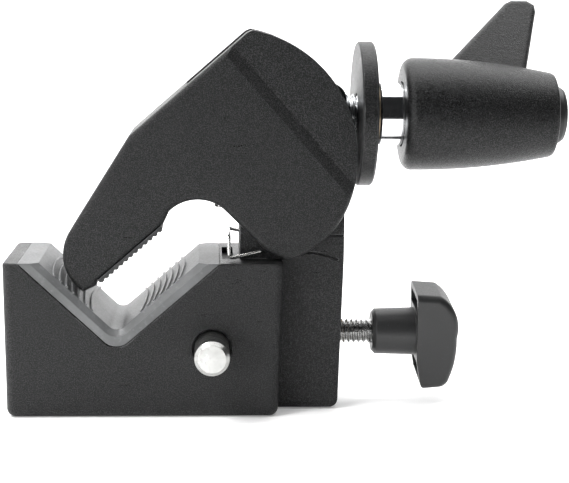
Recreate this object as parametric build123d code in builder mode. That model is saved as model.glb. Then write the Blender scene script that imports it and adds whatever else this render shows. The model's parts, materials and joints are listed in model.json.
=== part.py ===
"""Lever-operated tube clamp with a stud socket, as used on lighting and grip stands.

Millimetres. The origin is the centre of the hexagonal stud socket's mouth, on the base plane.
+X points from the V-block towards the lever handle, +Z points up, and the clamp is symmetric
about the XZ plane apart from its small fittings. The jaw is shown nearly closed.
"""
import os
from math import cos, radians, sin, tan, pi

from build123d import *

os.makedirs("parts", exist_ok=True)

# ---------------------------------------------------------------- driving dimensions
# Fixed V-block
BLOCK_HEIGHT = 39.0
BLOCK_HALF_DEPTH = 17.0
BLOCK_LEFT_TOP = -62.1
BLOCK_LEFT_BASE = -61.5
BLOCK_RIGHT_TOP = 7.3
BLOCK_RIGHT_BASE = 6.1
BLOCK_EDGE = 2.2
V_BOTTOM = (-34.2, 21.3)
V_LEFT_ANGLE = 43.0
V_RIGHT_ANGLE = 41.0
V_ROUND = 2.6
V_SEAT_ROUND = 4.4
V_EDGE = 0.35
PAD_THICKNESS = 3.4
PAD_BEVEL = 1.5
RIB_COUNT = 7
RIB_PITCH = 2.1
RIB_FIRST = 9.9
RIB_WIDTH = 0.6
RIB_HEIGHT = 0.4
RIB_END_MARGIN = 1.8
RIB_RADIUS = 90.0

# Column that rises from the block and carries the hinge and the spindle
COLUMN_HALF_DEPTH = 9.0
COLUMN_LEFT = -3.5
COLUMN_RIGHT_TOP = 22.8
COLUMN_RIGHT_BASE = 21.7
COLUMN_TOP = 83.2
COLUMN_NECK_LEFT = 10.6
SEAM_WIDTH = 0.6
SEAM_DEPTH = 0.45

# Hinge of the moving jaw
HINGE_X = 8.6
HINGE_Z = 47.0
HINGE_PIN_RADIUS = 3.0
HINGE_BUSH_RADIUS = 4.4
RUNNING_GAP = 0.05
CHEEK_SKIN = 0.8
SPRING_HALF_SLOT = 4.2

# Opening spring: a coil round the hinge pin and two legs
SPRING_WIRE = 0.45
SPRING_MEAN_RADIUS = 5.0
SPRING_PITCH = 1.5
SPRING_TURNS = 3.5
SPRING_COIL_START = 3.3
SPRING_TOP_X = -9.5
SPRING_TOP_Z = 51.5
SPRING_BRIDGE_Z = 45.0
SPRING_FOOT_X = -6.3
SPRING_FOOT_Y = -11.3
SPRING_FOOT_Z = 39.2
SPRING_NOTCH_DEPTH = 1.6

# Moving jaw
JAW_HALF_WIDTH = 13.3
CHEEK_INNER = 9.5
JAW_ARC_CENTRE = (-6.28, 64.7)
JAW_ARC_RADIUS = 32.0
BEAK_TOP = (-31.0, 70.2)
CROWN = (-2.1, 95.6)
WEB_THICKNESS = 4.0
SPINDLE_SLOT_START = 18.5
SPINDLE_SLOT_HALF_WIDTH = 6.4
JAW_EDGE = 1.5
JAW_PAD_HEEL = (-38.2, 33.2)
JAW_PAD_ANGLE = 41.2
JAW_PAD_LENGTH = 20.8
JAW_PAD_PROUD = 1.2
JAW_TOOTH_PITCH = 1.6
JAW_TOOTH_DEPTH = 0.5
BAND_START = (-7.2, 89.8)
BAND_END = (23.2, 55.6)
BAND_WIDTH = 2.9
BAND_DROP = 0.9

# Spindle and what travels on it
SPINDLE_Z = 75.1
SPINDLE_RADIUS = 5.0
SPINDLE_END = 67.2
SPINDLE_PITCH = 1.5
CROSS_PIN_X = 16.6
CROSS_PIN_RADIUS = 1.5
STOP_RING_LEFT = 64.85
DISC_LEFT = 26.1
DISC_THICKNESS = 4.0
DISC_RADIUS = 18.3
SLEEVE_LEFT = 31.65
SLEEVE_RADIUS = 7.9
SLEEVE_TAIL_RADIUS = 7.3
SLEEVE_RIGHT = 71.4
SLEEVE_NUT_END = 39.7
SLEEVE_BORE = 6.15

# Ratchet drive inside the handle
GEAR_LEFT = 44.5
GEAR_RIGHT = 48.0
GEAR_TIP = 10.2
GEAR_ROOT = 9.4
GEAR_TEETH = 22
GEAR_GAP = 0.25
INSERT_SLEEVE_LEFT = 43.2
INSERT_SLEEVE_RIGHT = 53.8
INSERT_SLEEVE_RADIUS = 12.0
INSERT_MOUTH_RADIUS = 10.9
INSERT_TAIL_RADIUS = 8.4

# Lever handle
HUB_LEFT = 37.7
HUB_RIGHT = 76.6
HUB_RADIUS = 14.3
HUB_MIDDLE = (57.5, 13.5)
HUB_END_RADIUS = 10.8
HUB_CHAMBER = 9.1
HUB_CHAMBER_LEFT = 56.4
HUB_NECK_RADIUS = 8.35
HUB_NECK_RIGHT = 40.3
WING_TILT = 42.0
WING_HALF_THICKNESS = 2.6
WING_OUTLINE = [
    (45.3, 9.0),
    (67.9, 36.6),
    (69.6, 37.6),
    (74.2, 37.6),
    (76.1, 36.0),
    (76.2, 34.0),
    (71.2, 13.0),
    (70.6, 9.4),
]
CAP_RIGHT = 79.6
CAP_RADIUS = 7.2

# Stud socket, its lock screw and its safety pin
SOCKET_FLATS = 16.2
SOCKET_DEPTH = 31.0
LOCK_Z = 18.5
LOCK_RADIUS = 3.175
LOCK_PITCH = 1.27
LOCK_TIP = 8.5
INSERT_LEFT = 9.6
INSERT_RADIUS = 5.2
KNOB_LEFT = 31.0
KNOB_TURN = 8.0
KNOB_BAR_HALF_WIDTH = 7.2
PIN_X = -10.5
PIN_Z = 17.6
PIN_RADIUS = 4.3
PIN_LAND_RADIUS = 4.7
PIN_GAP = 0.1
PIN_PROTRUSION = 11.4
PLUG_RADIUS = 6.0
PLUG_FRONT = 14.6

SPINDLE_AXIS = Axis((0, 0, SPINDLE_Z), (1, 0, 0))


# ---------------------------------------------------------------- helpers
def turned_on_x(points, axis_z, rounds=0.0):
    """Solid of revolution about an X axis at height axis_z, from (x, radius) corners."""
    with BuildPart() as turned:
        with BuildSketch(Plane.XZ):
            with BuildLine():
                Polyline(*[(x, axis_z + radius) for x, radius in points], close=True)
            make_face()
        revolve(axis=Axis((0, 0, axis_z), (1, 0, 0)))
        if rounds:
            fillet(turned.edges().filter_by(GeomType.CIRCLE), rounds)
    return turned.part


def turned_on_y(points, axis_x, axis_z):
    """Solid of revolution about a Y axis through (axis_x, axis_z), from (y, radius) corners."""
    with BuildPart() as turned:
        with BuildSketch(Plane.XY.offset(axis_z)):
            with BuildLine():
                Polyline(*[(axis_x + radius, y) for y, radius in points], close=True)
            make_face()
        revolve(axis=Axis((axis_x, 0, axis_z), (0, 1, 0)))
    return turned.part


def thread_profile(start, end, outer, depth, pitch):
    """Corners of a threaded bar's half profile, with one ridge per turn."""
    points = [(start, 0.0), (start, outer - depth)]
    turns = int((end - start) / pitch)
    for turn in range(turns):
        crest = start + (turn + 0.5) * pitch
        points += [(crest - 0.12 * pitch, outer), (crest + 0.12 * pitch, outer)]
        points.append((start + (turn + 1) * pitch, outer - depth))
    points += [(end, outer - depth), (end, 0.0)]
    corners = []
    for point in points:
        if not corners or abs(point[0] - corners[-1][0]) + abs(point[1] - corners[-1][1]) > 1e-6:
            corners.append(point)
    return corners


def coil_spring(start, direction, mean_radius, wire_radius, pitch, length):
    """Coil of round wire round an axis that leaves the start point in a direction."""
    with BuildPart() as coil:
        with BuildLine():
            path = Helix(pitch, length, mean_radius, center=start, direction=direction)
        with BuildSketch(Plane(origin=path @ 0, z_dir=path % 0)):
            Circle(wire_radius)
        sweep(path=path, is_frenet=True)
    return coil.part


def v_point(height, offset, side):
    """Point at a height on one slope of the V, moved outwards by an offset from its surface."""
    angle = radians(V_LEFT_ANGLE if side < 0 else V_RIGHT_ANGLE)
    return (V_BOTTOM[0] + side * ((height - V_BOTTOM[1]) / tan(angle) + offset / sin(angle)), height)


def v_vertex(offset):
    """Lowest corner of the V after both slopes move outwards by an offset."""
    left = radians(V_LEFT_ANGLE)
    right = radians(V_RIGHT_ANGLE)
    shift = offset * (1 / cos(right) - 1 / cos(left)) / (tan(left) + tan(right))
    return (V_BOTTOM[0] + shift, V_BOTTOM[1] + shift * tan(right) - offset / cos(right))


def pad_frame_point(along, outwards):
    """Point on the moving jaw's pad, along its face and outwards from it."""
    angle = radians(JAW_PAD_ANGLE)
    return (
        JAW_PAD_HEEL[0] + along * cos(angle) + outwards * sin(angle),
        JAW_PAD_HEEL[1] + along * sin(angle) - outwards * cos(angle),
    )


def star_points(tip, root, count):
    """Corners of a spline with straight-sided teeth, tip first."""
    points = []
    for tooth in range(count):
        for part, radius in ((0.0, tip), (0.3, tip), (0.5, root), (0.8, root)):
            angle = 2 * pi * (tooth + part) / count
            points.append((radius * cos(angle), radius * sin(angle)))
    return points


# ---------------------------------------------------------------- fixed body
def make_body_casting():
    with BuildPart() as body_casting:
        # V-block with drafted ends
        with BuildSketch(Plane.XZ):
            with BuildLine():
                Polyline(
                    (BLOCK_LEFT_BASE, 0),
                    (BLOCK_LEFT_TOP, BLOCK_HEIGHT),
                    (BLOCK_RIGHT_TOP, BLOCK_HEIGHT),
                    (BLOCK_RIGHT_BASE, 0),
                    close=True,
                )
            make_face()
        extrude(amount=BLOCK_HALF_DEPTH, both=True)
        upright_edges = body_casting.edges().filter_by(lambda edge: abs(edge.tangent_at(0.5).Z) > 0.9)
        base_edges = body_casting.edges().group_by(Axis.Z)[0]
        fillet(upright_edges + base_edges, BLOCK_EDGE)
        fillet(body_casting.edges().group_by(Axis.Z)[-1], 0.6)
        # V groove that seats the liner
        with BuildSketch(Plane.XZ):
            with BuildLine():
                Polyline(
                    v_point(BLOCK_HEIGHT + 2, PAD_THICKNESS, -1),
                    v_vertex(PAD_THICKNESS),
                    v_point(BLOCK_HEIGHT + 2, PAD_THICKNESS, 1),
                    close=True,
                )
            make_face()
            fillet(vertices().sort_by(Axis.Y)[0], V_SEAT_ROUND)
        extrude(amount=BLOCK_HALF_DEPTH + 1, both=True, mode=Mode.SUBTRACT)
        seat = body_casting.faces().filter_by(lambda face: 0.5 < face.normal_at().Z < 0.9)
        seat += body_casting.faces().filter_by(GeomType.CYLINDER).filter_by(
            lambda face: abs(face.radius - V_SEAT_ROUND) < 0.01
        )
        seat_rims = seat.edges().filter_by(lambda edge: abs(edge.center().Y) > BLOCK_HALF_DEPTH - 0.1)
        chamfer(seat_rims, V_EDGE)
        # column with a neck that holds the spindle
        with BuildSketch(Plane.XZ):
            with BuildLine():
                Polyline(
                    (COLUMN_LEFT, 6),
                    (COLUMN_LEFT, 50),
                    (COLUMN_NECK_LEFT, 61),
                    (COLUMN_NECK_LEFT, COLUMN_TOP),
                    (COLUMN_RIGHT_TOP, COLUMN_TOP),
                    (COLUMN_RIGHT_TOP, BLOCK_HEIGHT),
                    (COLUMN_RIGHT_BASE, 0.5),
                    (0, 0.5),
                    (0, 6),
                    close=True,
                )
            make_face()
            fillet(vertices().filter_by_position(Axis.Y, COLUMN_TOP - 1, COLUMN_TOP + 1), 4.0)
            fillet(vertices().filter_by_position(Axis.Y, 0, 1).sort_by(Axis.X)[-1], BLOCK_EDGE)
        extrude(amount=COLUMN_HALF_DEPTH, both=True)
        # hexagonal stud socket, open at the base
        with BuildSketch(Plane.XY):
            RegularPolygon(radius=SOCKET_FLATS / 2, side_count=6, major_radius=False, rotation=30)
        extrude(amount=SOCKET_DEPTH, mode=Mode.SUBTRACT)
        # lightening pockets in the base, under the V
        for pocket_x, pocket_depth in ((-49.0, 17.0), (-34.0, 9.0), (-22.0, 13.0)):
            with BuildSketch(Plane.XY):
                with Locations((pocket_x, -7.2), (pocket_x, 7.2)):
                    RectangleRounded(9.5, 11.0, 1.5)
            extrude(amount=pocket_depth, mode=Mode.SUBTRACT)
        # hinge pin bore and the slot for the opening spring's coil
        with BuildSketch(Plane.XZ):
            with Locations((HINGE_X, HINGE_Z)):
                Circle(HINGE_PIN_RADIUS)
        extrude(amount=COLUMN_HALF_DEPTH + 1, both=True, mode=Mode.SUBTRACT)
        with BuildSketch(Plane.XZ):
            with Locations((HINGE_X, HINGE_Z)):
                Circle(6.3)
            with BuildLine():
                Polyline(
                    (HINGE_X, HINGE_Z + 6.3),
                    (HINGE_X, HINGE_Z - 6.0),
                    (COLUMN_LEFT - 3, HINGE_Z - 6.0),
                    (COLUMN_LEFT - 3, HINGE_Z + 6.3),
                    close=True,
                )
            make_face()
        extrude(amount=SPRING_HALF_SLOT, both=True, mode=Mode.SUBTRACT)
        # recess in the block's top where the spring's foot lies
        with BuildSketch(Plane.XY.offset(BLOCK_HEIGHT - SPRING_NOTCH_DEPTH)):
            with Locations((SPRING_FOOT_X - 0.2, 0)):
                Rectangle(2.8, 19.2)
        extrude(amount=4, mode=Mode.SUBTRACT)
        # casting seams across the column's faces
        for side in (-1, 1):
            with BuildSketch(Plane.XZ.offset(side * COLUMN_HALF_DEPTH)):
                with BuildLine():
                    seam = ThreePointArc((6.8, 38.9), (14.0, 40.6), (21.2, 38.9))
                    offset(seam, SEAM_WIDTH / 2, side=Side.BOTH)
                make_face()
                with Locations((21.2, 45.0)):
                    Rectangle(4.4, SEAM_WIDTH)
            extrude(amount=SEAM_DEPTH, both=True, mode=Mode.SUBTRACT)
        # spindle bore and its cross pin bore
        with BuildSketch(Plane.YZ.offset(COLUMN_NECK_LEFT - 1)):
            with Locations((0, SPINDLE_Z)):
                Circle(SPINDLE_RADIUS)
        extrude(amount=20, mode=Mode.SUBTRACT)
        with BuildSketch(Plane.XZ):
            with Locations((CROSS_PIN_X, SPINDLE_Z)):
                Circle(CROSS_PIN_RADIUS)
        extrude(amount=COLUMN_HALF_DEPTH + 1, both=True, mode=Mode.SUBTRACT)
        # bore for the lock screw and its threaded insert
        with BuildSketch(Plane.YZ.offset(4)):
            with Locations((0, LOCK_Z)):
                Circle(LOCK_RADIUS + RUNNING_GAP)
        extrude(amount=20, mode=Mode.SUBTRACT)
        with BuildSketch(Plane.YZ.offset(INSERT_LEFT)):
            with Locations((0, LOCK_Z)):
                Circle(INSERT_RADIUS)
        extrude(amount=20, mode=Mode.SUBTRACT)
        # stepped bore for the safety pin, wide at the back so that the pin's land is trapped
        add(
            turned_on_y(
                [
                    (-BLOCK_HALF_DEPTH - 1, 0),
                    (-BLOCK_HALF_DEPTH - 1, 5.1),
                    (-BLOCK_HALF_DEPTH + 1.6, 5.1),
                    (-BLOCK_HALF_DEPTH + 1.6, PIN_RADIUS + PIN_GAP),
                    (-0.3, PIN_RADIUS + PIN_GAP),
                    (-0.3, PIN_LAND_RADIUS + PIN_GAP),
                    (PLUG_FRONT, PIN_LAND_RADIUS + PIN_GAP),
                    (PLUG_FRONT, PLUG_RADIUS),
                    (BLOCK_HALF_DEPTH + 1, PLUG_RADIUS),
                    (BLOCK_HALF_DEPTH + 1, 0),
                ],
                PIN_X,
                PIN_Z,
            ),
            mode=Mode.SUBTRACT,
        )
    return body_casting.part


def make_lower_v_pad():
    """Liner of the V with bevelled long edges and curved ribs on both slopes."""
    with BuildPart() as lower_v_pad:
        with BuildSketch(Plane.XZ):
            with BuildLine():
                Polyline(
                    v_point(BLOCK_HEIGHT, 0, -1),
                    v_vertex(0),
                    v_point(BLOCK_HEIGHT, 0, 1),
                    v_point(BLOCK_HEIGHT, PAD_THICKNESS, 1),
                    v_vertex(PAD_THICKNESS),
                    v_point(BLOCK_HEIGHT, PAD_THICKNESS, -1),
                    close=True,
                )
            make_face()
            lowest = vertices().filter_by_position(Axis.X, V_BOTTOM[0] - 0.1, V_BOTTOM[0] + 0.1)
            fillet(lowest.sort_by(Axis.Y)[-1], V_ROUND)
            lowest = vertices().sort_by(Axis.Y)[0]
            fillet(lowest, V_SEAT_ROUND)
        extrude(amount=BLOCK_HALF_DEPTH - 0.2, both=True)
        faces_out = lower_v_pad.faces().filter_by(GeomType.PLANE)
        slopes = faces_out.filter_by(lambda face: 0.5 < face.normal_at().Z < 0.9)
        rims = slopes.edges().filter_by(lambda edge: abs(edge.center().Y) > BLOCK_HALF_DEPTH - 1)
        valley = lower_v_pad.faces().filter_by(GeomType.CYLINDER).sort_by(Axis.Z)[-1]
        rims += valley.edges().filter_by(lambda edge: abs(edge.center().Y) > BLOCK_HALF_DEPTH - 1)
        chamfer(rims, PAD_BEVEL)
        for side, angle in ((-1, V_LEFT_ANGLE), (1, V_RIGHT_ANGLE)):
            up_slope = (side * cos(radians(angle)), 0, sin(radians(angle)))
            outwards = (-side * sin(radians(angle)), 0, cos(radians(angle)))
            slope = Plane(
                origin=(V_BOTTOM[0], 0, V_BOTTOM[1]), x_dir=up_slope, z_dir=outwards
            )
            for rib in range(RIB_COUNT):
                reach = RIB_FIRST + rib * RIB_PITCH
                with BuildSketch(slope.offset(-0.2)):
                    with Locations((reach - RIB_RADIUS, 0)):
                        Circle(RIB_RADIUS)
                        Circle(RIB_RADIUS - RIB_WIDTH, mode=Mode.SUBTRACT)
                    with Locations((reach, 0)):
                        Rectangle(8, 2 * (BLOCK_HALF_DEPTH - RIB_END_MARGIN), mode=Mode.INTERSECT)
                extrude(amount=0.2 + RIB_HEIGHT)
    return lower_v_pad.part


def make_hinge_pin():
    with BuildPart() as hinge_pin:
        with BuildSketch(Plane.XZ):
            with Locations((HINGE_X, HINGE_Z)):
                Circle(HINGE_PIN_RADIUS)
        extrude(amount=JAW_HALF_WIDTH - CHEEK_SKIN - 0.1)
        extrude(hinge_pin.faces().sort_by(Axis.Y)[-1], amount=JAW_HALF_WIDTH - 0.1)
        chamfer(hinge_pin.edges().filter_by(GeomType.CIRCLE), 0.3)
    return hinge_pin.part


def make_hinge_washers():
    """Two thin washers that keep the jaw's cheeks off the column."""
    with BuildPart() as hinge_washers:
        for side in (-1, 1):
            with BuildSketch(Plane.XZ.offset(side * (COLUMN_HALF_DEPTH + CHEEK_INNER) / 2)):
                with Locations((HINGE_X, HINGE_Z)):
                    Circle(6.0)
                    Circle(HINGE_PIN_RADIUS, mode=Mode.SUBTRACT)
            extrude(amount=(CHEEK_INNER - COLUMN_HALF_DEPTH) / 2 - 0.05, both=True)
    return hinge_washers.part


def make_jaw_bushes():
    """Bushes pressed into the cheeks: the near bore is blind, the far one goes through."""
    with BuildPart() as jaw_bushes:
        near_length = JAW_HALF_WIDTH - CHEEK_SKIN - CHEEK_INNER
        far_length = JAW_HALF_WIDTH - CHEEK_INNER
        for offset, length in ((CHEEK_INNER, near_length), (-JAW_HALF_WIDTH, far_length)):
            with BuildSketch(Plane.XZ.offset(offset)):
                with Locations((HINGE_X, HINGE_Z)):
                    Circle(HINGE_BUSH_RADIUS)
                    Circle(HINGE_PIN_RADIUS + RUNNING_GAP, mode=Mode.SUBTRACT)
            extrude(amount=length)
    return jaw_bushes.part


def make_jaw_spring():
    coil_length = SPRING_TURNS * SPRING_PITCH
    coil_end = SPRING_COIL_START - coil_length
    with BuildPart() as jaw_spring:
        add(
            coil_spring(
                (HINGE_X, SPRING_COIL_START, HINGE_Z),
                (0, -1, 0),
                SPRING_MEAN_RADIUS,
                SPRING_WIRE,
                SPRING_PITCH,
                coil_length,
            )
        )
        # upper leg: leaves the coil's top and presses up on the jaw's throat wall
        with BuildLine():
            upper_leg = FilletPolyline(
                (HINGE_X, coil_end, HINGE_Z + SPRING_MEAN_RADIUS),
                (SPRING_TOP_X, coil_end, SPRING_TOP_Z),
                (SPRING_TOP_X, SPRING_COIL_START, SPRING_TOP_Z),
                radius=1.3,
            )
        with BuildSketch(Plane(origin=upper_leg @ 0, z_dir=upper_leg % 0)):
            Circle(SPRING_WIRE)
        sweep(path=upper_leg)
        # foot: leaves the coil's bottom, comes forward, drops to the block and turns back
        with BuildLine():
            foot = FilletPolyline(
                (HINGE_X, SPRING_COIL_START, HINGE_Z - SPRING_MEAN_RADIUS),
                (SPRING_FOOT_X, SPRING_COIL_START, SPRING_BRIDGE_Z),
                (SPRING_FOOT_X, SPRING_FOOT_Y, SPRING_BRIDGE_Z),
                (SPRING_FOOT_X, SPRING_FOOT_Y, SPRING_FOOT_Z),
                (SPRING_FOOT_X + 8.0, SPRING_FOOT_Y, SPRING_FOOT_Z + 1.9),
                radius=0.9,
            )
        with BuildSketch(Plane(origin=foot @ 0, z_dir=foot % 0)):
            Circle(SPRING_WIRE)
        sweep(path=foot)
    return jaw_spring.part


# ---------------------------------------------------------------- moving jaw
def jaw_arc_point(angle, radius=JAW_ARC_RADIUS):
    return (
        JAW_ARC_CENTRE[0] + radius * cos(radians(angle)),
        JAW_ARC_CENTRE[1] + radius * sin(radians(angle)),
    )


def crown_line_point(along, inwards):
    """Point along the jaw's upper-left wall, from its beak end, and inwards from its outside."""
    length = ((CROWN[0] - BEAK_TOP[0]) ** 2 + (CROWN[1] - BEAK_TOP[1]) ** 2) ** 0.5
    run = ((CROWN[0] - BEAK_TOP[0]) / length, (CROWN[1] - BEAK_TOP[1]) / length)
    return (
        BEAK_TOP[0] + along * run[0] + inwards * run[1],
        BEAK_TOP[1] + along * run[1] - inwards * run[0],
    )


def make_moving_jaw():
    with BuildPart() as moving_jaw:
        with BuildSketch(Plane.XZ):
            with BuildLine():
                ThreePointArc(jaw_arc_point(80), jaw_arc_point(30), jaw_arc_point(-17.5))
                ThreePointArc(jaw_arc_point(-17.5), (18.4, 45.1), (9.5, HINGE_Z - 7.7))
                ThreePointArc((9.5, HINGE_Z - 7.7), (4.4, 40.6), (1.0, 43.6))
                Line((1.0, 43.6), (-7.8, 52.1))
                ThreePointArc((-7.8, 52.1), (-14.4, 54.3), (-21.2, 51.4))
                Polyline(
                    (-21.2, 51.4),
                    (-22.0, 49.6),
                    pad_frame_point(JAW_PAD_LENGTH + 1.0, -JAW_PAD_PROUD),
                    pad_frame_point(0, -JAW_PAD_PROUD),
                    (-39.2, 32.8),
                    (-42.6, 31.1),
                )
                ThreePointArc((-42.6, 31.1), (-47.5, 39.6), (-45.6, 46.7))
                Polyline((-45.6, 46.7), BEAK_TOP, CROWN, jaw_arc_point(80))
            make_face()
        extrude(amount=JAW_HALF_WIDTH, both=True)
        # rounded outline on both cheeks
        side_faces = moving_jaw.faces().filter_by(Axis.Y)
        fillet(side_faces.edges(), JAW_EDGE)
        # hollow between the cheeks, open along the back arc and slotted at the crown
        with BuildSketch(Plane.XZ):
            with BuildLine():
                Polyline(
                    (60, 120),
                    crown_line_point(50, WEB_THICKNESS),
                    crown_line_point(2.5, WEB_THICKNESS),
                    (-22.0, 58.0),
                )
                ThreePointArc((-22.0, 58.0), (-14.2, 58.6), (-6.2, 55.9))
                Polyline((-6.2, 55.9), (-8.4, 50.0), (-4.0, 30.0), (60, 30), (60, 120))
            make_face()
        extrude(amount=CHEEK_INNER, both=True, mode=Mode.SUBTRACT)
        # slot in the crown wall that clears the spindle when the jaw is open
        with BuildSketch(Plane.XZ):
            with BuildLine():
                Polyline(
                    crown_line_point(SPINDLE_SLOT_START, -5),
                    crown_line_point(SPINDLE_SLOT_START, WEB_THICKNESS + 1),
                    crown_line_point(50, WEB_THICKNESS + 1),
                    crown_line_point(50, -5),
                    close=True,
                )
            make_face()
        extrude(amount=SPINDLE_SLOT_HALF_WIDTH, both=True, mode=Mode.SUBTRACT)
        # stepped segment panels beyond the diagonal band on both cheeks
        band_run = (BAND_END[0] - BAND_START[0], BAND_END[1] - BAND_START[1])
        band_length = (band_run[0] ** 2 + band_run[1] ** 2) ** 0.5
        run = (band_run[0] / band_length, band_run[1] / band_length)
        for side in (-1, 1):
            band_plane = Plane(
                origin=(BAND_START[0], side * JAW_HALF_WIDTH, BAND_START[1]),
                x_dir=(-run[1], 0, run[0]),
                z_dir=(run[0], 0, run[1]),
            )
            drop = BAND_DROP if band_plane.y_dir.Y * side < 0 else -BAND_DROP
            with BuildSketch(band_plane):
                with BuildLine():
                    Polyline(
                        (0, 0),
                        (BAND_WIDTH, drop),
                        (30, drop),
                        (30, -drop),
                        (0, -drop),
                        close=True,
                    )
                make_face()
            extrude(amount=80, both=True, mode=Mode.SUBTRACT)
        # bores for the bushes: blind in the near cheek, through in the far one
        with BuildSketch(Plane.XZ.offset(-JAW_HALF_WIDTH - 1)):
            with Locations((HINGE_X, HINGE_Z)):
                Circle(HINGE_BUSH_RADIUS)
        extrude(amount=2 * JAW_HALF_WIDTH + 1 - CHEEK_SKIN, mode=Mode.SUBTRACT)
        # groove for the pad's tongue
        with BuildSketch(Plane.XZ):
            with BuildLine():
                Polyline(
                    pad_frame_point(2.5, 0),
                    pad_frame_point(JAW_PAD_LENGTH - 2.5, 0),
                    pad_frame_point(JAW_PAD_LENGTH - 2.5, -3.2),
                    pad_frame_point(2.5, -3.2),
                    close=True,
                )
            make_face()
        extrude(amount=9, both=True, mode=Mode.SUBTRACT)
    return moving_jaw.part


def make_jaw_pad():
    """Serrated pad: a toothed plate with a tongue that sits in the jaw's groove."""
    with BuildPart() as jaw_pad:
        teeth = int(JAW_PAD_LENGTH / JAW_TOOTH_PITCH)
        corners = [pad_frame_point(0.1, -JAW_PAD_PROUD), pad_frame_point(0.1, -JAW_TOOTH_DEPTH)]
        for tooth in range(teeth):
            start = 0.1 + tooth * JAW_TOOTH_PITCH
            corners.append(pad_frame_point(start + 0.35 * JAW_TOOTH_PITCH, 0))
            corners.append(pad_frame_point(start + 0.65 * JAW_TOOTH_PITCH, 0))
            corners.append(pad_frame_point(start + JAW_TOOTH_PITCH, -JAW_TOOTH_DEPTH))
        corners.append(pad_frame_point(0.1 + teeth * JAW_TOOTH_PITCH, -JAW_PAD_PROUD))
        with BuildSketch(Plane.XZ):
            with BuildLine():
                Polyline(*corners, close=True)
            make_face()
        extrude(amount=JAW_HALF_WIDTH - 0.4, both=True)
        with BuildSketch(Plane.XZ):
            with BuildLine():
                Polyline(
                    pad_frame_point(2.5, -JAW_PAD_PROUD + 0.1),
                    pad_frame_point(JAW_PAD_LENGTH - 2.5, -JAW_PAD_PROUD + 0.1),
                    pad_frame_point(JAW_PAD_LENGTH - 2.5, -3.2),
                    pad_frame_point(2.5, -3.2),
                    close=True,
                )
            make_face()
        extrude(amount=9, both=True)
    return jaw_pad.part


# ---------------------------------------------------------------- spindle and carriage
def make_spindle():
    profile = thread_profile(COLUMN_RIGHT_TOP + 0.2, SPINDLE_END, SPINDLE_RADIUS, 0.8, SPINDLE_PITCH)
    profile = [
        (COLUMN_NECK_LEFT + 0.3, 0.0),
        (COLUMN_NECK_LEFT + 0.3, SPINDLE_RADIUS),
        (COLUMN_RIGHT_TOP + 0.2, SPINDLE_RADIUS),
    ] + profile[1:]
    with BuildPart() as spindle:
        add(turned_on_x(profile, SPINDLE_Z))
        with BuildSketch(Plane.XZ):
            with Locations((CROSS_PIN_X, SPINDLE_Z)):
                Circle(CROSS_PIN_RADIUS)
        extrude(amount=SPINDLE_RADIUS + 1, both=True, mode=Mode.SUBTRACT)
        # groove for the stop ring
        add(
            turned_on_x(
                [
                    (STOP_RING_LEFT - 0.05, 3.6),
                    (STOP_RING_LEFT - 0.05, 6),
                    (STOP_RING_LEFT + 0.95, 6),
                    (STOP_RING_LEFT + 0.95, 3.6),
                ],
                SPINDLE_Z,
            ),
            mode=Mode.SUBTRACT,
        )
    return spindle.part


def make_spindle_cross_pin():
    with BuildPart() as spindle_cross_pin:
        with BuildSketch(Plane.XZ):
            with Locations((CROSS_PIN_X, SPINDLE_Z)):
                Circle(CROSS_PIN_RADIUS)
        extrude(amount=COLUMN_HALF_DEPTH - 0.2, both=True)
        chamfer(spindle_cross_pin.edges().filter_by(GeomType.CIRCLE), 0.3)
    return spindle_cross_pin.part


def make_spindle_stop_ring():
    right = STOP_RING_LEFT + 0.9
    return turned_on_x(
        [(STOP_RING_LEFT, 3.6), (STOP_RING_LEFT, 5.75), (right, 5.75), (right, 3.6)], SPINDLE_Z
    )


def make_pressure_disc():
    right = DISC_LEFT + DISC_THICKNESS
    return turned_on_x(
        [
            (DISC_LEFT, SPINDLE_RADIUS + 0.3),
            (DISC_LEFT, DISC_RADIUS - 0.4),
            (DISC_LEFT + 0.4, DISC_RADIUS),
            (right - 0.5, DISC_RADIUS),
            (right, DISC_RADIUS - 0.5),
            (right, 10.0),
            (right + 0.7, 8.6),
            (right + 0.7, SPINDLE_RADIUS + 0.3),
        ],
        SPINDLE_Z,
    )


def make_thrust_washer():
    left = DISC_LEFT + DISC_THICKNESS + 0.75
    return turned_on_x([(left, 5.4), (left, 7.5), (left + 0.7, 7.5), (left + 0.7, 5.4)], SPINDLE_Z)


def make_drive_sleeve():
    return turned_on_x(
        [
            (SLEEVE_LEFT, SPINDLE_RADIUS + RUNNING_GAP),
            (SLEEVE_LEFT, SLEEVE_RADIUS - 0.4),
            (SLEEVE_LEFT + 0.4, SLEEVE_RADIUS),
            (50, SLEEVE_RADIUS),
            (50, SLEEVE_TAIL_RADIUS),
            (SLEEVE_RIGHT, SLEEVE_TAIL_RADIUS),
            (SLEEVE_RIGHT, SLEEVE_BORE),
            (SLEEVE_NUT_END, SLEEVE_BORE),
            (SLEEVE_NUT_END, SPINDLE_RADIUS + RUNNING_GAP),
        ],
        SPINDLE_Z,
    )


def make_ratchet_gear():
    with BuildPart() as ratchet_gear:
        with BuildSketch(Plane(origin=(GEAR_LEFT, 0, SPINDLE_Z), x_dir=(0, 1, 0), z_dir=(1, 0, 0))):
            Polygon(*star_points(GEAR_TIP, GEAR_ROOT, GEAR_TEETH), align=None)
            Circle(SLEEVE_RADIUS, mode=Mode.SUBTRACT)
        extrude(amount=GEAR_RIGHT - GEAR_LEFT)
    return ratchet_gear.part


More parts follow.
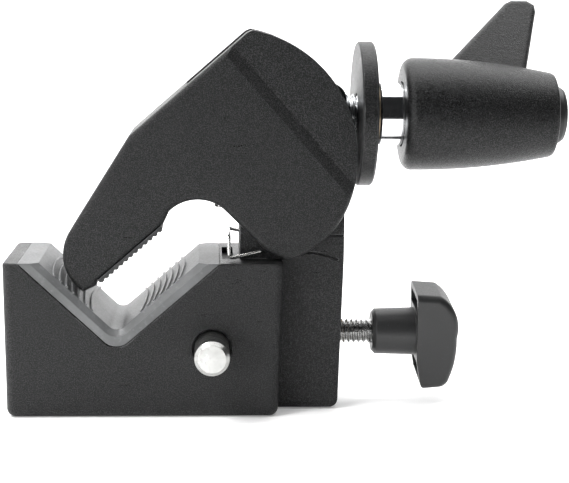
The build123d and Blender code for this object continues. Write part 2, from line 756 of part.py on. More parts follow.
def make_handle_insert():
    """Steel insert of the handle, with an internal spline that fits the ratchet gear."""
    with BuildPart() as handle_insert:
        add(
            turned_on_x(
                [
                    (INSERT_SLEEVE_LEFT, INSERT_MOUTH_RADIUS),
                    (INSERT_SLEEVE_LEFT, INSERT_SLEEVE_RADIUS),
                    (INSERT_SLEEVE_RIGHT, INSERT_SLEEVE_RADIUS),
                    (INSERT_SLEEVE_RIGHT, INSERT_TAIL_RADIUS),
                    (GEAR_RIGHT + 0.3, INSERT_TAIL_RADIUS),
                    (GEAR_RIGHT + 0.3, INSERT_MOUTH_RADIUS),
                ],
                SPINDLE_Z,
            )
        )
        with BuildSketch(Plane(origin=(44.4, 0, SPINDLE_Z), x_dir=(0, 1, 0), z_dir=(1, 0, 0))):
            Circle(11.2)
            Polygon(
                *star_points(GEAR_TIP + GEAR_GAP, GEAR_ROOT + GEAR_GAP, GEAR_TEETH),
                align=None,
                mode=Mode.SUBTRACT,
            )
        extrude(amount=3.9)
    return handle_insert.part


def make_lever_handle():
    with BuildPart() as lever_handle:
        # hub: rounded front and a grip that swells, then tapers to the end cap
        with BuildSketch(Plane.XZ):
            with BuildLine():
                grip_start = (HUB_LEFT + 2.4, SPINDLE_Z + HUB_RADIUS)
                grip_middle = (HUB_MIDDLE[0], SPINDLE_Z + HUB_MIDDLE[1])
                grip_end = (HUB_RIGHT - 0.9, SPINDLE_Z + HUB_END_RADIUS)
                ThreePointArc(grip_start, grip_middle, grip_end)
                Polyline(
                    grip_end,
                    (HUB_RIGHT - 0.25, SPINDLE_Z + HUB_END_RADIUS - 0.35),
                    (HUB_RIGHT, SPINDLE_Z + HUB_END_RADIUS - 1.0),
                    (HUB_RIGHT, SPINDLE_Z),
                    (HUB_LEFT, SPINDLE_Z),
                    (HUB_LEFT, SPINDLE_Z + HUB_RADIUS - 2.6),
                )
                ThreePointArc(
                    (HUB_LEFT, SPINDLE_Z + HUB_RADIUS - 2.6),
                    (HUB_LEFT + 0.75, SPINDLE_Z + HUB_RADIUS - 0.75),
                    grip_start,
                )
            make_face()
        revolve(axis=SPINDLE_AXIS)
        # wing, in a plane through the spindle
        tilt = radians(WING_TILT)
        wing_plane = Plane(
            origin=(0, 0, SPINDLE_Z), x_dir=(1, 0, 0), z_dir=(0, -cos(tilt), sin(tilt))
        )
        with BuildPart(mode=Mode.PRIVATE) as wing:
            with BuildSketch(wing_plane):
                with BuildLine():
                    Polyline(*WING_OUTLINE, close=True)
                make_face()
            extrude(amount=WING_HALF_THICKNESS, both=True)
            broad_sides = wing.faces().filter_by(
                lambda face: abs(face.normal_at().dot(wing_plane.z_dir)) > 0.99
            )
            fillet(broad_sides.edges(), 1.8)
        add(wing.part)
        # bores for the sleeve, the insert and the spring
        add(
            turned_on_x(
                [
                    (HUB_LEFT - 1, 0),
                    (HUB_LEFT - 1, HUB_NECK_RADIUS),
                    (HUB_NECK_RIGHT, HUB_NECK_RADIUS),
                    (HUB_NECK_RIGHT, INSERT_MOUTH_RADIUS),
                    (INSERT_SLEEVE_LEFT, INSERT_MOUTH_RADIUS),
                    (INSERT_SLEEVE_LEFT, INSERT_SLEEVE_RADIUS),
                    (INSERT_SLEEVE_RIGHT, INSERT_SLEEVE_RADIUS),
                    (INSERT_SLEEVE_RIGHT, INSERT_TAIL_RADIUS),
                    (HUB_CHAMBER_LEFT, INSERT_TAIL_RADIUS),
                    (HUB_CHAMBER_LEFT, HUB_CHAMBER),
                    (HUB_RIGHT + 1, HUB_CHAMBER),
                    (HUB_RIGHT + 1, 0),
                ],
                SPINDLE_Z,
            ),
            mode=Mode.SUBTRACT,
        )
    return lever_handle.part


def make_handle_spring():
    return coil_spring((57.1, 0, SPINDLE_Z), (1, 0, 0), 8.2, 0.5, 2.6, 12.2)


def make_spring_washer():
    left = SLEEVE_RIGHT - 1.4
    right = SLEEVE_RIGHT - 0.1
    return turned_on_x([(left, 7.4), (left, 8.9), (right, 8.9), (right, 7.4)], SPINDLE_Z)


def make_retaining_screw():
    """Screw that closes the sleeve's end and holds the handle on."""
    with BuildPart() as retaining_screw:
        add(
            turned_on_x(
                [
                    (SLEEVE_RIGHT - 3.4, 0),
                    (SLEEVE_RIGHT - 3.4, SLEEVE_BORE),
                    (SLEEVE_RIGHT, SLEEVE_BORE),
                    (SLEEVE_RIGHT, 8.7),
                    (SLEEVE_RIGHT + 2.0, 8.7),
                    (SLEEVE_RIGHT + 2.3, 8.4),
                    (SLEEVE_RIGHT + 2.3, 0),
                ],
                SPINDLE_Z,
            )
        )
        with BuildSketch(
            Plane(origin=(SLEEVE_RIGHT - 1.2, 0, SPINDLE_Z), x_dir=(0, 1, 0), z_dir=(1, 0, 0))
        ):
            RegularPolygon(radius=3.0, side_count=6, major_radius=False)
        extrude(amount=6, mode=Mode.SUBTRACT)
    return retaining_screw.part


def make_end_cap():
    return turned_on_x(
        [
            (HUB_RIGHT - 2.1, 0),
            (HUB_RIGHT - 2.1, HUB_CHAMBER),
            (HUB_RIGHT, HUB_CHAMBER),
            (HUB_RIGHT, CAP_RADIUS),
            (HUB_RIGHT + 1.6, CAP_RADIUS),
            (HUB_RIGHT + 2.5, CAP_RADIUS - 0.6),
            (HUB_RIGHT + 2.95, CAP_RADIUS - 1.8),
            (CAP_RIGHT, 0),
        ],
        SPINDLE_Z,
    )


# ---------------------------------------------------------------- stud lock
def make_lock_insert():
    return turned_on_x(
        [
            (INSERT_LEFT, LOCK_RADIUS + RUNNING_GAP),
            (INSERT_LEFT, INSERT_RADIUS),
            (22.0, INSERT_RADIUS),
            (22.0, LOCK_RADIUS + RUNNING_GAP),
        ],
        LOCK_Z,
    )


def make_lock_thrust_tip():
    return turned_on_x(
        [(LOCK_TIP, 0), (LOCK_TIP, 2.4), (LOCK_TIP + 0.5, 2.9), (12.4, 2.9), (12.4, 0)], LOCK_Z
    )


def make_lock_screw():
    return turned_on_x(thread_profile(12.6, 40.0, LOCK_RADIUS, 0.6, LOCK_PITCH), LOCK_Z)


def make_lock_knob():
    """Wing knob: a round stem and a hollow-backed, dome-topped bar."""
    with BuildPart() as lock_knob:
        add(
            turned_on_x(
                [(KNOB_LEFT, 0), (KNOB_LEFT, 5.0), (KNOB_LEFT + 0.9, 5.9), (46, 6.3), (46, 0)],
                LOCK_Z,
            )
        )
        turn = radians(KNOB_TURN)
        bar_plane = Plane(
            origin=(0, 0, LOCK_Z), x_dir=(1, 0, 0), z_dir=(0, -cos(turn), -sin(turn))
        )
        with BuildPart(mode=Mode.PRIVATE) as bar:
            with BuildSketch(bar_plane):
                with BuildLine():
                    Polyline((48.4, -13.5), (43.9, -13.9), (42.4, -6), (42.0, 11.9), (48.0, 11.5))
                    ThreePointArc((48.0, 11.5), (51.4, 8.2), (52.8, 0))
                    ThreePointArc((52.8, 0), (52.5, -6.4), (51.2, -11.2))
                    ThreePointArc((51.2, -11.2), (50.2, -12.8), (48.4, -13.5))
                make_face()
            extrude(amount=KNOB_BAR_HALF_WIDTH, both=True)
            fillet(bar.edges().filter_by(lambda edge: edge.center().X > 43.8), 1.8)
        add(bar.part)
        # hollow back of the bar, either side of the stem
        with BuildSketch(bar_plane):
            with BuildLine():
                Polyline((41, -12.0), (48.2, -11.4), (50.6, 0), (47.4, 9.7), (41, 10.4), close=True)
            make_face()
            with Locations((46, 0)):
                Rectangle(20, 13.4, mode=Mode.SUBTRACT)
        extrude(amount=KNOB_BAR_HALF_WIDTH - 1.6, both=True, mode=Mode.SUBTRACT)
        # bore for the screw
        add(
            turned_on_x(
                [
                    (KNOB_LEFT - 1, 0),
                    (KNOB_LEFT - 1, LOCK_RADIUS),
                    (40.0, LOCK_RADIUS),
                    (40.0, 0),
                ],
                LOCK_Z,
            ),
            mode=Mode.SUBTRACT,
        )
    return lock_knob.part


def make_safety_pin():
    front = -BLOCK_HALF_DEPTH - PIN_PROTRUSION
    return turned_on_y(
        [
            (front, 0),
            (front, 3.4),
            (front + 0.9, PIN_RADIUS),
            (-10.4, PIN_RADIUS),
            (-10.4, 2.5),
            (0, 2.5),
            (0, PIN_LAND_RADIUS),
            (5, PIN_LAND_RADIUS),
            (5, 1.8),
            (7.5, 1.8),
            (7.5, 0),
        ],
        PIN_X,
        PIN_Z,
    )


def make_safety_pin_spring():
    return coil_spring((PIN_X, PLUG_FRONT - 0.45, PIN_Z), (0, -1, 0), 3.1, 0.35, 1.7, 8.6)


def make_safety_pin_plug():
    with BuildPart() as safety_pin_plug:
        with BuildSketch(Plane.XZ.offset(-PLUG_FRONT)):
            with Locations((PIN_X, PIN_Z)):
                Circle(PLUG_RADIUS)
        extrude(amount=-(BLOCK_HALF_DEPTH - 0.3 - PLUG_FRONT))
        with BuildSketch(Plane.XZ.offset(-(BLOCK_HALF_DEPTH - 0.3))):
            with Locations((PIN_X, PIN_Z)):
                Rectangle(8.0, 1.2)
        extrude(amount=1.0, mode=Mode.SUBTRACT)
    return safety_pin_plug.part


# ---------------------------------------------------------------- build and write
PIECES = {
    "body_casting": make_body_casting,
    "lower_v_pad": make_lower_v_pad,
    "hinge_pin": make_hinge_pin,
    "hinge_washers": make_hinge_washers,
    "jaw_bushes": make_jaw_bushes,
    "jaw_spring": make_jaw_spring,
    "moving_jaw": make_moving_jaw,
    "jaw_pad": make_jaw_pad,
    "spindle": make_spindle,
    "spindle_cross_pin": make_spindle_cross_pin,
    "spindle_stop_ring": make_spindle_stop_ring,
    "pressure_disc": make_pressure_disc,
    "thrust_washer": make_thrust_washer,
    "drive_sleeve": make_drive_sleeve,
    "ratchet_gear": make_ratchet_gear,
    "handle_insert": make_handle_insert,
    "lever_handle": make_lever_handle,
    "handle_spring": make_handle_spring,
    "spring_washer": make_spring_washer,
    "retaining_screw": make_retaining_screw,
    "end_cap": make_end_cap,
    "lock_insert": make_lock_insert,
    "lock_thrust_tip": make_lock_thrust_tip,
    "lock_screw": make_lock_screw,
    "lock_knob": make_lock_knob,
    "safety_pin": make_safety_pin,
    "safety_pin_spring": make_safety_pin_spring,
    "safety_pin_plug": make_safety_pin_plug,
}

for piece_name, make_piece in PIECES.items():
    piece = make_piece()
    piece.label = piece_name
    export_step(piece, f"parts/{piece_name}.step")
    print(piece_name, round(piece.volume, 1))
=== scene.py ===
"""Looks for the lever-operated tube clamp: finishes, helical threads, spring wire, stage and camera."""
import json
import math

import bmesh
import bpy
from mathutils import Matrix, Vector


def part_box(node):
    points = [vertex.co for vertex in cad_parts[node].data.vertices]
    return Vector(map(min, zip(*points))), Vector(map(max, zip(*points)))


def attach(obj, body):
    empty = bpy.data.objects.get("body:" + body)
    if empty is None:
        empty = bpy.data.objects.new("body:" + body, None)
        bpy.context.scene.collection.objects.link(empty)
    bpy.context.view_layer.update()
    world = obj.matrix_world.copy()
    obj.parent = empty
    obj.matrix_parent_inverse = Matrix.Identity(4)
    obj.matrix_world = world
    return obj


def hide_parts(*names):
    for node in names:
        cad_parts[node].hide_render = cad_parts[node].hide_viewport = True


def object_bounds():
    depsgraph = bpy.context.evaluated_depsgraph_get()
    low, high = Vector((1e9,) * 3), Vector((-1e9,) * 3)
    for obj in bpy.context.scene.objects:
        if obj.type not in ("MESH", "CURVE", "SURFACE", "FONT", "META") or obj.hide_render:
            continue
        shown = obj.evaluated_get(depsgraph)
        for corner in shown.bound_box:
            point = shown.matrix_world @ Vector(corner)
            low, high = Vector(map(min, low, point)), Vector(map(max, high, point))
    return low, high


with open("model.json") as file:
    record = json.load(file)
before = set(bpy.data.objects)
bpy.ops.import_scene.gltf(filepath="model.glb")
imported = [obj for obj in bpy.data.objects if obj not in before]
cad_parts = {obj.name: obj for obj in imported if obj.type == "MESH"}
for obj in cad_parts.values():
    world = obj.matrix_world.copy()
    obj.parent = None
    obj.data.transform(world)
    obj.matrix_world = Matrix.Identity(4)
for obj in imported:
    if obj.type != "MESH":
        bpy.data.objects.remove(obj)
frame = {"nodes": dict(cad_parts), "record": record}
cad_box = [list(corner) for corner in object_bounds()]
MM = 0.001

# ---------------------------------------------------------------- places taken from the frame
FLOOR_Z = cad_box[0][2]
JOINTS = {joint["name"]: joint for joint in frame["record"]["behaviour"]["joints"]}
HINGE = Vector(JOINTS["jaw_hinge"]["pos_m"])
SPINDLE_Z = JOINTS["handle_spin"]["pos_m"][2]
LOCK_Z = JOINTS["lock_spin"]["pos_m"][2]


# ---------------------------------------------------------------- node-material helpers
def rgb(red, green, blue):
    return (red, green, blue, 1.0)


def grey(value, tint=0.02):
    return rgb(value * (1 - tint), value, value * (1 + tint))


EDGE_STARTS = 0.002
EDGE_FULL = 0.12


class Shader:
    """A principled material with short calls for the nodes that the finishes share."""

    def __init__(self, name):
        self.material = bpy.data.materials.new(name)
        self.material.use_nodes = True
        self.tree = self.material.node_tree
        self.bsdf = self.tree.nodes["Principled BSDF"]
        self.place = self.node("ShaderNodeTexCoord").outputs["Object"]

    def node(self, kind, inputs=None, **settings):
        made = self.tree.nodes.new(kind)
        for key, value in settings.items():
            setattr(made, key, value)
        for key, value in (inputs or {}).items():
            self.set_input(made.inputs[key], value)
        return made

    def set_input(self, socket, value):
        if isinstance(value, bpy.types.NodeSocket):
            self.tree.links.new(value, socket)
        else:
            socket.default_value = value

    def noise(self, scale, detail=3.0, roughness=0.55, vector=None):
        made = self.node(
            "ShaderNodeTexNoise",
            {"Vector": vector or self.place, "Scale": scale, "Detail": detail, "Roughness": roughness},
        )
        return made.outputs["Fac"]

    def stretched(self, scale):
        return self.node("ShaderNodeMapping", {"Vector": self.place, "Scale": scale}).outputs["Vector"]

    def ramp(self, value, low, high, low_out=0.0, high_out=1.0):
        made = self.node(
            "ShaderNodeMapRange",
            {"Value": value, "From Min": low, "From Max": high, "To Min": low_out, "To Max": high_out},
            clamp=True,
        )
        return made.outputs["Result"]

    def blend(self, factor, first, second):
        made = self.node("ShaderNodeMix", data_type="RGBA")
        self.set_input(made.inputs["Factor"], factor)
        self.set_input(made.inputs[6], first)
        self.set_input(made.inputs[7], second)
        return made.outputs[2]

    def maths(self, operation, first, second):
        made = self.node("ShaderNodeMath", operation=operation)
        self.set_input(made.inputs[0], first)
        self.set_input(made.inputs[1], second)
        return made.outputs["Value"]

    def soft_edge(self, radius):
        """Normal that rolls over the sharp edges of the CAD mesh."""
        return self.node("ShaderNodeBevel", {"Radius": radius}, samples=6).outputs["Normal"]

    def edge_mask(self, rounded):
        """1 on the edges that the rounded normal rolls over, 0 on flat ground."""
        geometry = self.node("ShaderNodeNewGeometry").outputs["Normal"]
        facing = self.node("ShaderNodeVectorMath", operation="DOT_PRODUCT")
        self.set_input(facing.inputs[0], rounded)
        self.set_input(facing.inputs[1], geometry)
        return self.ramp(self.maths("SUBTRACT", 1.0, facing.outputs["Value"]), EDGE_STARTS, EDGE_FULL)

    def patchy_edge_mask(self, rounded, patches):
        """Edge mask that comes and goes with a patchy noise."""
        return self.maths("MULTIPLY", self.edge_mask(rounded), patches)

    def bump(self, height, distance, strength=1.0, below=None):
        made = self.node(
            "ShaderNodeBump", {"Height": height, "Distance": distance, "Strength": strength}
        )
        if below is not None:
            self.tree.links.new(below, made.inputs["Normal"])
        return made.outputs["Normal"]

    def finish(self, **sockets):
        for key, value in sockets.items():
            self.set_input(self.bsdf.inputs[key.replace("_", " ")], value)
        return self.material


# ---------------------------------------------------------------- finishes
COAT_IOR = 1.5
COAT_SPECULAR = 0.22
LATHE_LINES = 7000.0
ALONG_LATHE_LINES = 240.0


def powder_coat(name, tone, rough, grain=0.12, edge_radius=0.3, specular=COAT_SPECULAR):
    """Satin black coat on a casting: fine grain, orange peel, patchy paler edges that are partly wear
    and partly a painted edge highlight, and faint handling marks.
    """
    shader = Shader(name)
    cloud = shader.noise(38, 4, 0.6)
    peel = shader.noise(900, 2, 0.5)
    grit = shader.noise(4300, 1, 0.5)
    rounded = shader.soft_edge(edge_radius * MM)
    worn_and_highlit_edges = shader.patchy_edge_mask(rounded, shader.ramp(shader.noise(260, 4), 0.45, 0.62))
    colour = shader.blend(shader.ramp(cloud, 0.35, 0.68), grey(tone * 0.8), grey(tone * 1.25))
    colour = shader.blend(shader.ramp(grit, 0.46, 0.68, 0.0, 0.7), colour, grey(0.052))
    # Paler grey along the edges: partly wear, partly a painted highlight on the edges.
    colour = shader.blend(shader.maths("MULTIPLY", worn_and_highlit_edges, 0.6), colour, grey(0.26))
    scuff = shader.ramp(shader.noise(1.0, 3, 0.6, shader.stretched((90, 90, 520))), 0.62, 0.72)
    rough_value = shader.ramp(cloud, 0.3, 0.7, rough - 0.04, rough + 0.06)
    rough_value = shader.maths("SUBTRACT", rough_value, shader.maths("MULTIPLY", scuff, 0.06))
    normal = shader.bump(peel, grain * MM, 0.55, rounded)
    normal = shader.bump(grit, grain * 1.6 * MM, 1.0, normal)
    return shader.finish(
        Base_Color=colour,
        Roughness=rough_value,
        Normal=normal,
        IOR=COAT_IOR,
        Specular_IOR_Level=specular,
    )


def moulded_rubber(name, tone, rough):
    """Matt rubber with a fine moulded skin, paler on the ribs and edges, partly from wear and partly as
    a painted highlight.
    """
    shader = Shader(name)
    cloud = shader.noise(110, 3)
    skin = shader.noise(2300, 3, 0.6)
    rounded = shader.soft_edge(0.2 * MM)
    scuffed_and_highlit_edges = shader.patchy_edge_mask(rounded, shader.ramp(shader.noise(420, 3), 0.35, 0.6))
    dust = shader.ramp(shader.noise(750, 4, 0.65), 0.55, 0.7, 0.0, 0.3)
    colour = shader.blend(shader.ramp(cloud, 0.3, 0.7), grey(tone * 0.75), grey(tone * 1.25))
    colour = shader.blend(dust, colour, grey(tone * 2.0 + 0.02))
    # Paler grey on the ribs and edges: partly wear, partly a painted highlight.
    colour = shader.blend(shader.maths("MULTIPLY", scuffed_and_highlit_edges, 0.5), colour, grey(0.26))
    rough_value = shader.ramp(skin, 0.3, 0.7, rough - 0.07, rough + 0.07)
    normal = shader.bump(skin, 0.03 * MM, 0.7, rounded)
    return shader.finish(Base_Color=colour, Roughness=rough_value, Normal=normal, IOR=COAT_IOR)


def turned_metal(name, low, high, rough, axis, streak=0.006, edge_radius=0.15):
    """Turned and plated metal with lathe lines round one axis and a little grime."""
    shader = Shader(name)
    scale = [ALONG_LATHE_LINES] * 3
    scale[axis] = LATHE_LINES
    streaks = shader.noise(1.0, 3, 0.6, shader.stretched(scale))
    cloud = shader.noise(150, 3)
    grime = shader.ramp(shader.noise(620, 4, 0.6), 0.58, 0.74, 0.0, 0.3)
    rounded = shader.soft_edge(edge_radius * MM)
    colour = shader.blend(shader.ramp(cloud, 0.3, 0.7), rgb(*low), rgb(*high))
    colour = shader.blend(grime, colour, rgb(*[channel * 0.5 for channel in low]))
    rough_value = shader.ramp(streaks, 0.3, 0.7, rough * 0.75, rough * 1.35)
    normal = shader.bump(streaks, streak * MM, 0.4, rounded)
    return shader.finish(Base_Color=colour, Metallic=1.0, Roughness=rough_value, Normal=normal)


def moulded_plastic(name, tone, rough):
    """Black glass-filled nylon with a spark-eroded grain."""
    shader = Shader(name)
    cloud = shader.noise(55, 3)
    grain = shader.noise(2100, 2, 0.6)
    rounded = shader.soft_edge(0.3 * MM)
    scuffed_and_highlit_edges = shader.patchy_edge_mask(rounded, shader.ramp(shader.noise(300, 3), 0.45, 0.6))
    colour = shader.blend(shader.ramp(cloud, 0.3, 0.7), grey(tone * 0.85), grey(tone * 1.2))
    colour = shader.blend(shader.ramp(grain, 0.58, 0.74, 0.0, 0.15), colour, grey(0.08))
    # Slightly paler grey on the edges: partly wear, partly a painted highlight.
    colour = shader.blend(shader.maths("MULTIPLY", scuffed_and_highlit_edges, 0.25), colour, grey(0.12))
    rough_value = shader.ramp(grain, 0.3, 0.7, rough - 0.06, rough + 0.07)
    normal = shader.bump(grain, 0.02 * MM, 0.7, rounded)
    return shader.finish(Base_Color=colour, Roughness=rough_value, Normal=normal, IOR=COAT_IOR)


FINISHES = {
    "casting": powder_coat("casting_coat", 0.004, 0.33),
    "handle": powder_coat("handle_coat", 0.003, 0.28, 0.08, 0.3, 0.2),
    "liner": moulded_rubber("liner_rubber", 0.095, 0.42),
    "jaw_liner": moulded_rubber("jaw_liner_rubber", 0.016, 0.55),
    "chrome": turned_metal("bright_chrome", (0.82, 0.83, 0.85), (0.88, 0.89, 0.90), 0.10, 0),
    "steel": turned_metal("zinc_steel", (0.56, 0.57, 0.58), (0.68, 0.69, 0.70), 0.24, 0),
    "disc": powder_coat("disc_coat", 0.003, 0.33, 0.06, 0.2),
    "bronze": turned_metal("sintered_bronze", (0.24, 0.19, 0.13), (0.34, 0.27, 0.19), 0.38, 0),
    "knob": moulded_plastic("knob_nylon", 0.012, 0.42),
}
PIN_STEEL = turned_metal("pin_steel", (0.32, 0.32, 0.31), (0.48, 0.48, 0.47), 0.28, 1, 0.02)
SCREW_STEEL = turned_metal("screw_steel", (0.30, 0.30, 0.30), (0.44, 0.44, 0.43), 0.22, 0)
SPRING_STEEL = turned_metal(
    "spring_steel", (0.66, 0.66, 0.65), (0.78, 0.78, 0.76), 0.20, 1, 0.004, 0.05
)


def dress_cad_nodes():
    """Every CAD node takes the finish of its material slot, and the safety pin a duller steel."""
    slots = {entry["node"]: entry["material_slot"] for entry in frame["record"]["subparts"]}
    for name, node in frame["nodes"].items():
        node.data.materials.clear()
        node.data.materials.append(FINISHES[slots[name]])
    pin = frame["nodes"]["safety_pin"].data.materials
    pin.clear()
    pin.append(PIN_STEEL)


# ---------------------------------------------------------------- threads with a real helix
THREAD_SIDES = 56
THREAD_STEPS = 14
THREAD_LAND = 0.12
THREAD_ROOT_LAND = 0.12
THREAD_RUN_OUT = 0.6
SPINDLE_RADIUS = 5.0 * MM
SPINDLE_THREAD_DEPTH = 0.8 * MM
SPINDLE_THREAD_PITCH = 1.5 * MM
SPINDLE_THREAD_START = 23.0 * MM
SCREW_RADIUS = 3.175 * MM
SCREW_THREAD_DEPTH = 0.65 * MM
SCREW_THREAD_PITCH = 1.27 * MM


def thread_height(phase):
    """Height of the thread form, 0 at the root and 1 at the crest, over one pitch."""
    distance = abs(phase - 0.5)
    flank = 0.5 - THREAD_LAND / 2 - THREAD_ROOT_LAND / 2
    return min(1.0, max(0.0, 1 - (distance - THREAD_LAND / 2) / flank))


def threaded_rod(name, ends, axis_z, outer, depth, pitch, thread_start, material):
    """Rod along X between two ends, with a right-handed thread from thread_start onwards."""
    start, end = ends
    step = pitch / THREAD_STEPS
    count = int((end - start) / step)
    stations = [start + (end - start) * i / count for i in range(count + 1)]
    shape = bmesh.new()
    rings = []
    for x in stations:
        run_out = min(1.0, max(0.0, (end - x) / (THREAD_RUN_OUT * pitch)))
        ring = []
        for side in range(THREAD_SIDES):
            turn = side / THREAD_SIDES
            phase = ((x - thread_start) / pitch - turn) % 1.0
            radius = outer - depth * (1 - thread_height(phase)) if x > thread_start else outer
            radius = min(radius, outer - depth * (1 - run_out))
            angle = 2 * math.pi * turn
            place = (x, -radius * math.sin(angle), axis_z + radius * math.cos(angle))
            ring.append(shape.verts.new(place))
        rings.append(ring)
    for first, second in zip(rings, rings[1:]):
        for side in range(THREAD_SIDES):
            after = (side + 1) % THREAD_SIDES
            shape.faces.new((first[side], first[after], second[after], second[side]))
    shape.faces.new(rings[0])
    shape.faces.new(list(reversed(rings[-1])))
    bmesh.ops.recalc_face_normals(shape, faces=shape.faces)
    return mesh_piece(name, shape, material)


def mesh_piece(name, shape, material):
    mesh = bpy.data.meshes.new(name)
    shape.to_mesh(mesh)
    shape.free()
    mesh.materials.append(material)
    mesh.shade_smooth()
    piece = bpy.data.objects.new(name, mesh)
    bpy.context.scene.collection.objects.link(piece)
    return piece


def make_threads():
    low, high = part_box("spindle")
    spindle = threaded_rod(
        "spindle_thread",
        (low[0], high[0]),
        SPINDLE_Z,
        SPINDLE_RADIUS,
        SPINDLE_THREAD_DEPTH,
        SPINDLE_THREAD_PITCH,
        SPINDLE_THREAD_START,
        FINISHES["steel"],
    )
    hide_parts("spindle")
    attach(spindle, "root")
    low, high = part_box("lock_screw")
    screw = threaded_rod(
        "lock_screw_thread",
        (low[0], high[0]),
        LOCK_Z,
        SCREW_RADIUS,
        SCREW_THREAD_DEPTH,
        SCREW_THREAD_PITCH,
        low[0],
        SCREW_STEEL,
    )
    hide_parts("lock_screw")
    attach(screw, "lock_wing")


# ---------------------------------------------------------------- opening spring, split at the hinge
SPRING_RADIUS = 0.45 * MM
COIL_RADIUS = 5.0 * MM
COIL_PITCH = 1.5 * MM
COIL_TURNS = 3.5
COIL_START_Y = 3.3 * MM
COIL_STEPS = 28
FOOT_X = -6.3 * MM
FOOT_LENGTH = 8.0 * MM
FOOT_RISE = 1.9 * MM
FOOT_BEND = 0.9 * MM
BRIDGE_Z = 45.0 * MM
LEG_TOP_Z = 51.5 * MM
LEG_BEND = 1.3 * MM
LEG_START_SHIFT = 0.6 * MM


def wire(name, points, body):
    """Round wire through the points, with closed ends."""
    curve = bpy.data.curves.new(name, "CURVE")
    curve.dimensions = "3D"
    curve.bevel_depth = SPRING_RADIUS
    curve.bevel_resolution = 5
    curve.use_fill_caps = True
    spline = curve.splines.new("POLY")
    spline.points.add(len(points) - 1)
    for target, point in zip(spline.points, points):
        target.co = (*point, 1.0)
    curve.materials.append(SPRING_STEEL)
    piece = bpy.data.objects.new(name, curve)
    bpy.context.scene.collection.objects.link(piece)
    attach(piece, body)
    return piece


def rounded_path(corners, radius, steps=7):
    """Points along straight runs joined by arcs at the corners."""
    points = [Vector(corners[0])]
    for before, corner, after in zip(corners, corners[1:], corners[2:]):
        before, corner, after = Vector(before), Vector(corner), Vector(after)
        into = (corner - before).normalized()
        out = (after - corner).normalized()
        half_turn = into.angle(out) / 2
        trim = radius * math.tan(half_turn)
        centre = corner + (out - into).normalized() * radius / math.cos(half_turn)
        first = corner - into * trim - centre
        for step in range(steps + 1):
            spoke = first.slerp(corner + out * trim - centre, step / steps)
            points.append(centre + spoke.normalized() * radius)
    points.append(Vector(corners[-1]))
    return points


def make_opening_spring():
    """Coil and foot stay with the block, and the upper leg swings with the jaw."""
    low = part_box("jaw_spring")[0]
    coil = []
    total = int(COIL_TURNS * COIL_STEPS)
    for step in range(total + 1):
        angle = 2 * math.pi * step / COIL_STEPS
        y = COIL_START_Y - COIL_PITCH * step / COIL_STEPS
        spoke = Vector((-COIL_RADIUS * math.sin(angle), y, -COIL_RADIUS * math.cos(angle)))
        coil.append(HINGE + spoke)
    foot_y = low[1] + SPRING_RADIUS
    foot_z = low[2] + SPRING_RADIUS
    foot = rounded_path(
        [
            (FOOT_X + FOOT_LENGTH, foot_y, foot_z + FOOT_RISE),
            (FOOT_X, foot_y, foot_z),
            (FOOT_X, foot_y, BRIDGE_Z),
            (FOOT_X, COIL_START_Y, BRIDGE_Z),
            (HINGE.x, COIL_START_Y, HINGE.z - COIL_RADIUS),
        ],
        FOOT_BEND,
    )
    coil_piece = wire("spring_coil_and_foot", foot[:-1] + coil, "root")
    top_x = low[0] + SPRING_RADIUS
    end_y = COIL_START_Y - COIL_TURNS * COIL_PITCH
    leg = rounded_path(
        [
            (HINGE.x - LEG_START_SHIFT, end_y, HINGE.z + COIL_RADIUS),
            (top_x, end_y, LEG_TOP_Z),
            (top_x, COIL_START_Y, LEG_TOP_Z),
        ],
        LEG_BEND,
    )
    leg_piece = wire("spring_upper_leg", leg, "jaw")
    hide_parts("jaw_spring")
    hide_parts("jaw_spring")


# ---------------------------------------------------------------- stage, light and camera
SWEEP_START_Y = 1.3
SWEEP_RADIUS = 0.7
SWEEP_HEIGHT = 2.2
SWEEP_STEPS = 12
STAGE_HALF_WIDTH = 4.0
STAGE_FRONT_Y = -0.28
STAGE_GLOW = 0.2
DIM_STUDIO = 0.018

# name, place, aim, size, power in watts, spread in degrees
LIGHTS = [
    ("overhead", (0.0, 0.45, 1.1), (0.0, 0.45, 0.0), (2.4, 1.6), 35.0, 180.0),
    ("backdrop", (0.0, 0.35, 1.3), (0.0, 2.0, 0.4), (2.4, 0.5), 50.0, 180.0),
    ("left", (-0.95, -0.35, 0.32), (0.0, 0.0, 0.03), (0.7, 0.6), 4.0, 180.0),
    ("left_front", (-0.72, -0.72, 0.12), (0.0, 0.0, 0.02), (0.5, 0.3), 4.0, 180.0),
    ("low_fill", (-0.22, -0.2, 0.32), (-0.06, -0.15, 0.0), (0.15, 0.15), 0.3, 50.0),
    ("right_front", (0.42, -0.83, 0.45), (0.0, 0.0, 0.07), (0.25, 0.25), 0.35, 180.0),
]


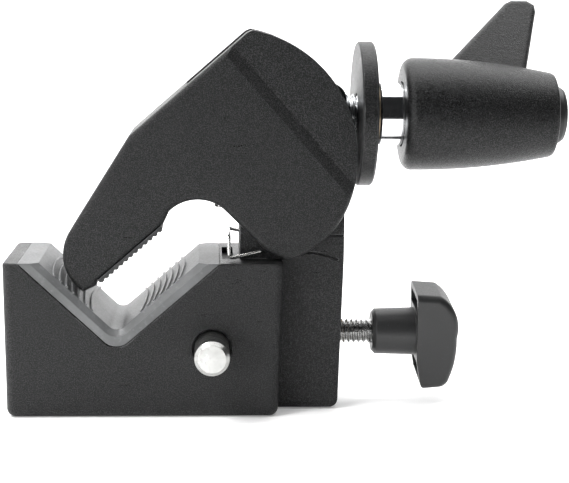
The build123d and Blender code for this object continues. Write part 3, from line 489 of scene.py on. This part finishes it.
def make_stage():
    """Pale floor that curves up into a backdrop behind the clamp."""
    profile = [(STAGE_FRONT_Y, 0.0), (SWEEP_START_Y, 0.0)]
    for step in range(1, SWEEP_STEPS + 1):
        angle = math.radians(90 * step / SWEEP_STEPS)
        profile.append(
            (SWEEP_START_Y + SWEEP_RADIUS * math.sin(angle), SWEEP_RADIUS * (1 - math.cos(angle)))
        )
    profile.append((SWEEP_START_Y + SWEEP_RADIUS, SWEEP_HEIGHT))
    shape = bmesh.new()
    sides = [
        [shape.verts.new((x, y, FLOOR_Z + z)) for y, z in profile]
        for x in (-STAGE_HALF_WIDTH, STAGE_HALF_WIDTH)
    ]
    for i in range(len(profile) - 1):
        shape.faces.new((sides[0][i], sides[1][i], sides[1][i + 1], sides[0][i + 1]))
    mesh = bpy.data.meshes.new("stage")
    shape.to_mesh(mesh)
    shape.free()
    mesh.shade_smooth()
    stage = bpy.data.objects.new("stage", mesh)
    bpy.context.scene.collection.objects.link(stage)
    shader = Shader("stage_paper")
    fibre = shader.noise(90, 4)
    shader.finish(
        Base_Color=shader.blend(fibre, grey(0.88, 0.0), grey(0.91, 0.0)),
        Roughness=0.9,
        Normal=shader.bump(shader.noise(700, 3), 0.02 * MM, 0.3),
        Emission_Color=rgb(1.0, 1.0, 1.0),
        Emission_Strength=STAGE_GLOW,
    )
    mesh.materials.append(shader.material)


def make_light(name, place, aim, size, power, spread):
    lamp = bpy.data.lights.new(name, "AREA")
    lamp.shape = "RECTANGLE"
    lamp.size, lamp.size_y = size
    lamp.energy = power
    lamp.spread = math.radians(spread)
    holder = bpy.data.objects.new(name, lamp)
    bpy.context.scene.collection.objects.link(holder)
    holder.location = place
    holder.rotation_euler = (Vector(aim) - Vector(place)).to_track_quat("-Z", "Y").to_euler()


def make_world():
    """White surround behind the stage, and a dim studio for what the clamp reflects."""
    world = bpy.data.worlds.new("studio")
    world.use_nodes = True
    tree = world.node_tree
    dim = tree.nodes["Background"]
    dim.inputs["Color"].default_value = rgb(0.95, 0.97, 1.0)
    dim.inputs["Strength"].default_value = DIM_STUDIO
    white = tree.nodes.new("ShaderNodeBackground")
    white.inputs["Color"].default_value = rgb(1.0, 1.0, 1.0)
    path = tree.nodes.new("ShaderNodeLightPath")
    choice = tree.nodes.new("ShaderNodeMixShader")
    tree.links.new(path.outputs["Is Camera Ray"], choice.inputs["Fac"])
    tree.links.new(dim.outputs["Background"], choice.inputs[1])
    tree.links.new(white.outputs["Background"], choice.inputs[2])
    tree.links.new(choice.outputs["Shader"], tree.nodes["World Output"].inputs["Surface"])
    bpy.context.scene.world = world


CAMERA_PLACE = Vector((-12.4, -381.5, 102.6)) * MM
CAMERA_YAW = 3.09
CAMERA_PITCH = 9.01
CAMERA_ROLL = 0.64
CAMERA_LENS = 94.9


def make_camera():
    data = bpy.data.cameras.new("camera")
    data.lens = CAMERA_LENS
    data.sensor_width = 36.0
    data.clip_start = 0.01
    camera = bpy.data.objects.new("camera", data)
    bpy.context.scene.collection.objects.link(camera)
    yaw, pitch, roll = (math.radians(angle) for angle in (CAMERA_YAW, CAMERA_PITCH, CAMERA_ROLL))
    level = math.cos(pitch)
    forward = Vector((math.sin(yaw) * level, math.cos(yaw) * level, -math.sin(pitch)))
    upright = forward.to_track_quat("-Z", "Y")
    camera.rotation_mode = "QUATERNION"
    camera.rotation_quaternion = upright @ Matrix.Rotation(roll, 3, "Z").to_quaternion()
    camera.location = CAMERA_PLACE
    bpy.context.scene.camera = camera


dress_cad_nodes()
make_threads()
make_opening_spring()
make_stage()
make_world()
for light in LIGHTS:
    make_light(*light)
make_camera()
bpy.context.scene.view_settings.view_transform = "Standard"
